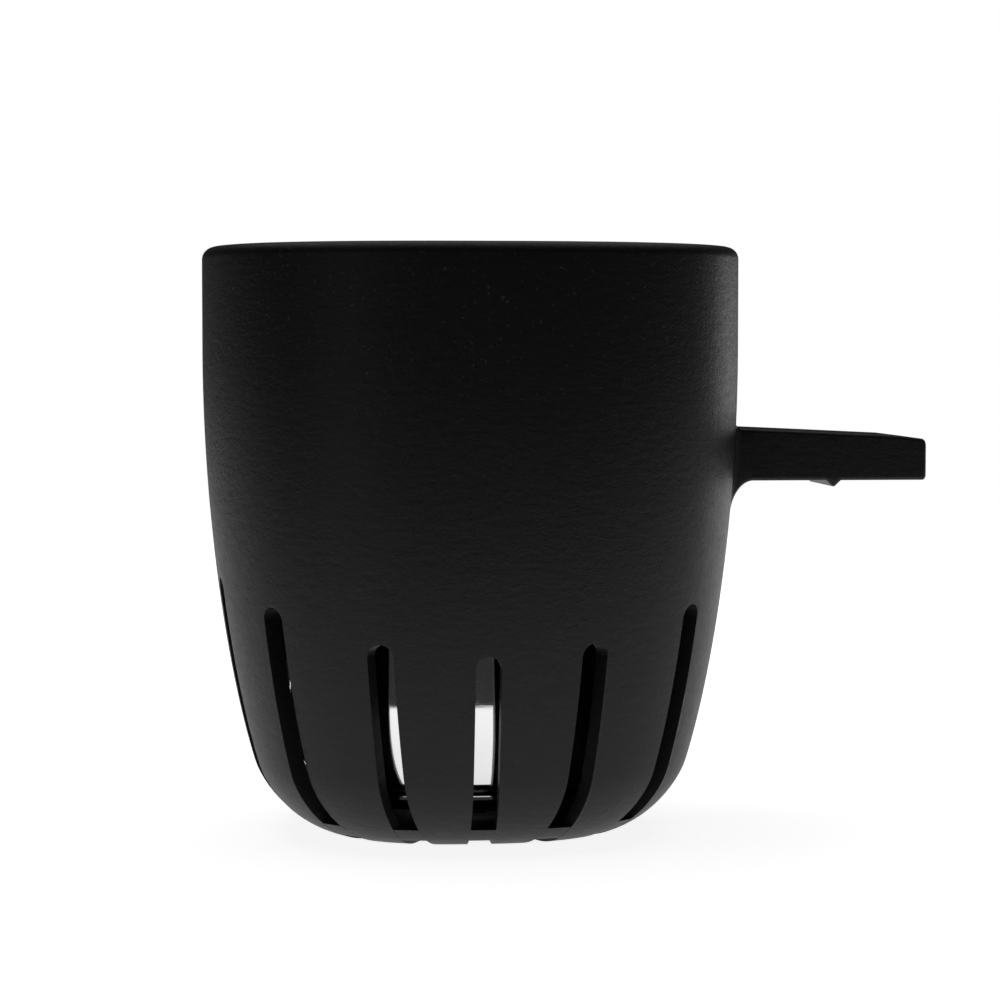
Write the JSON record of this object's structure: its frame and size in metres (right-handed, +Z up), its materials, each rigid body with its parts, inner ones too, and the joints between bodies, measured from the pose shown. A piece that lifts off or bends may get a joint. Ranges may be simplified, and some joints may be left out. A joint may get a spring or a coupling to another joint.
{
  "type": "sous vide circulator",
  "caption": "Compact oval sous vide circulator: black slotted pump housing with a pot lug on one side, steel pump can inside, recessed control cover on top.",
  "frame": {"origin": "centre of the flat foot face, on the impeller shaft's axis", "axes": "+Z up along the shaft's axis, +X out along the pot lug, -Y the front, where the display is"},
  "size_m": [0.0868, 0.058, 0.07],
  "materials": {
    "body_plastic": "matte moulded black, fine grain",
    "cover_plastic": "matte moulded black",
    "button_plastic": "satin moulded dark grey",
    "inner_plastic": "moulded dark grey",
    "rubber": "matte black",
    "polished_steel": "polished stainless",
    "plain_steel": "plain",
    "brass": "plain",
    "ferrite": "sintered dark grey",
    "aluminium": "extruded",
    "circuit_board": "green solder mask",
    "smoked_window": "gloss smoked"
  },
  "bodies": {
    "circulator_body": {"slotted_housing": "body_plastic", "top_cover": "cover_plastic", "cover_seal": "rubber", "cover_screw_1": "plain_steel", "cover_screw_2": "plain_steel", "cover_screw_3": "plain_steel", "cover_screw_4": "plain_steel", "display_window": "smoked_window", "display_module": "inner_plastic", "down_switch": "plain_steel", "start_switch": "plain_steel", "up_switch": "plain_steel", "cord_gland": "rubber", "control_board": "circuit_board", "board_screw_1": "plain_steel", "board_screw_2": "plain_steel", "power_board": "circuit_board", "relay": "inner_plastic", "capacitor": "smoked_window", "mains_terminal_1": "brass", "mains_terminal_2": "brass", "heat_sink": "aluminium", "triac": "smoked_window", "bulkhead": "inner_plastic", "bulkhead_seal": "rubber", "shaft_seal": "rubber", "motor_can": "plain_steel", "motor_end_cap": "inner_plastic", "motor_magnets": "ferrite", "lower_bush": "brass", "upper_bush": "brass", "pump_can": "polished_steel", "can_base": "polished_steel", "can_screw_1": "plain_steel", "can_screw_2": "plain_steel", "heater_element": "plain_steel", "level_pin_1": "polished_steel", "temperature_probe": "polished_steel", "level_pin_2": "polished_steel"},
    "impeller_rotor": {"drive_shaft": "plain_steel", "motor_rotor": "plain_steel", "impeller": "inner_plastic", "impeller_nut": "plain_steel"},
    "down_button": {"down_button": "button_plastic"},
    "start_button": {"start_button": "button_plastic"},
    "up_button": {"up_button": "button_plastic"}
  },
  "joints": [
    {"name": "impeller_spin", "type": "hinge", "parent": "circulator_body", "child": "impeller_rotor", "pos_m": [0, 0, 0.02], "axis": [0, 0, 1], "continuous": true},
    {"name": "down_press", "type": "slide", "parent": "circulator_body", "child": "down_button", "axis": [0, 0, -1], "range_m": [0, 0.0008], "stiffness_N_per_m": 900},
    {"name": "start_press", "type": "slide", "parent": "circulator_body", "child": "start_button", "axis": [0, 0, -1], "range_m": [0, 0.0008], "stiffness_N_per_m": 900},
    {"name": "up_press", "type": "slide", "parent": "circulator_body", "child": "up_button", "axis": [0, 0, -1], "range_m": [0, 0.0008], "stiffness_N_per_m": 900}
  ]
}
